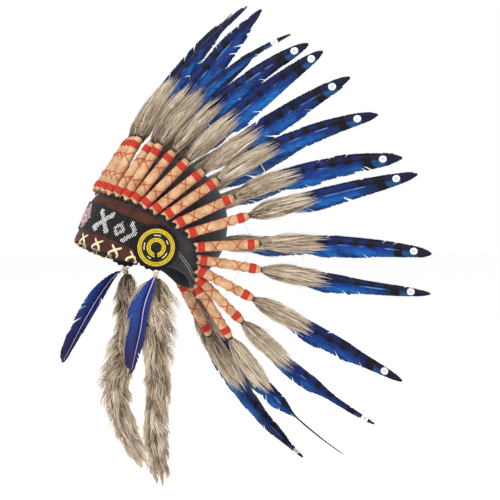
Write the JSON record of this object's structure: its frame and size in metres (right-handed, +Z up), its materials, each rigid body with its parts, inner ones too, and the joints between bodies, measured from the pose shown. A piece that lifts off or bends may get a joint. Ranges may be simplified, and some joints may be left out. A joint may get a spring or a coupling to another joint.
{
  "type": "feathered headdress",
  "caption": "Worn feathered headdress: a felt cap with a beaded suede brow band, temple rosettes, a ring of suede-wrapped feathers with fur tufts, and hanging feather and fur drops.",
  "frame": {"origin": "centre of the cap's head opening, on the rim plane at the middle of the head's length", "axes": "+Z up, -Y the way the wearer faces, +X the wearer's left. The cap leans 22 degrees back about X."},
  "size_m": [0.388, 0.4538, 0.6396],
  "materials": {
    "felt": "matt charcoal wool felt",
    "suede": "matt dark brown suede",
    "seed_beads": "glossy opaque seed beads, black with white and dusky pink",
    "rosette_beads": "glossy opaque seed beads in yellow and black rings on black felt",
    "plume": "royal blue feather, grey-brown fur and cream suede wrap with red bands",
    "feather": "royal blue feather with a pale rachis and dark tip",
    "fur": "grey-brown fur with beige tips",
    "lace": "matt cream suede lace",
    "thong_leather": "black leather thong"
  },
  "bodies": {
    "root": {"felt_cap": "felt", "brow_band": "suede", "bead_strip": "seed_beads", "rosette_left": "rosette_beads", "rosette_right": "rosette_beads", "plume_left_01": "plume", "plume_right_01": "plume", "plume_left_02": "plume", "plume_right_02": "plume", "plume_left_03": "plume", "plume_right_03": "plume", "plume_left_04": "plume", "plume_right_04": "plume", "plume_left_05": "plume", "plume_right_05": "plume", "plume_left_06": "plume", "plume_right_06": "plume", "plume_left_07": "plume", "plume_right_07": "plume", "plume_left_08": "plume", "plume_right_08": "plume", "plume_left_09": "plume", "plume_right_09": "plume", "plume_left_10": "plume", "plume_right_10": "plume", "plume_left_11": "plume", "plume_right_11": "plume", "plume_left_12": "plume", "plume_right_12": "plume", "plume_left_13": "plume", "plume_right_13": "plume", "plume_left_14": "plume", "plume_right_14": "plume", "plume_left_15": "plume", "plume_right_15": "plume", "plume_left_16": "plume", "plume_right_16": "plume", "tie_left": "lace", "drop_feather_left": "feather", "drop_fur_left": "fur", "thong_left": "thong_leather", "tie_right": "lace", "drop_feather_right": "feather", "drop_fur_right": "fur", "thong_right": "thong_leather"}
  },
  "joints": []
}
